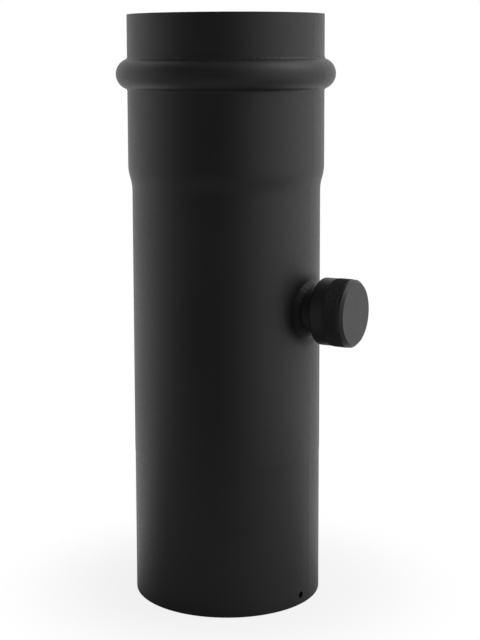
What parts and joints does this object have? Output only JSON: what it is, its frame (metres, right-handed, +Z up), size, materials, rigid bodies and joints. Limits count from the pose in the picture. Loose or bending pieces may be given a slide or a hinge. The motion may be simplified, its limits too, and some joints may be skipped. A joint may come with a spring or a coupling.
{
  "type": "flue pipe with test port",
  "caption": "Short black round stove flue pipe with a bead-gasket socket on top, a plain spigot end below and a knurled screw cap closing a test port on its side.",
  "frame": {"origin": "on the pipe's axis, in the plane of its plain lower end", "axes": "+Z up along the pipe's axis, from the plain end to the socket; +X along the test port's axis, outwards"},
  "size_m": [0.1074, 0.0928, 0.248],
  "materials": {
    "pipe_paint": "matte heat-resistant black paint on steel",
    "seal_silicone": "smooth black silicone",
    "stub_paint": "matte heat-resistant black paint on turned steel",
    "cap_paint": "satin black coating on turned steel",
    "washer_rubber": "dull dark grey"
  },
  "bodies": {
    "pipe": {"pipe_body": "pipe_paint", "lip_seal": "seal_silicone", "port_stub": "stub_paint"},
    "cap_travel": {"cap_seal": "washer_rubber"},
    "cap": {"port_cap": "cap_paint"}
  },
  "joints": [
    {"name": "cap_lift", "type": "slide", "parent": "pipe", "child": "cap_travel", "axis": [1, 0, 0], "range_m": [0, 0.009]},
    {"name": "cap_turn", "type": "hinge", "parent": "cap_travel", "child": "cap", "pos_m": [0.05, 0, 0.1255], "axis": [1, 0, 0], "range_deg": [0, 2160]}
  ],
  "couplings": [
    {"joint": "cap_turn", "follows": "cap_lift", "rad_per_m": 4188.8}
  ]
}
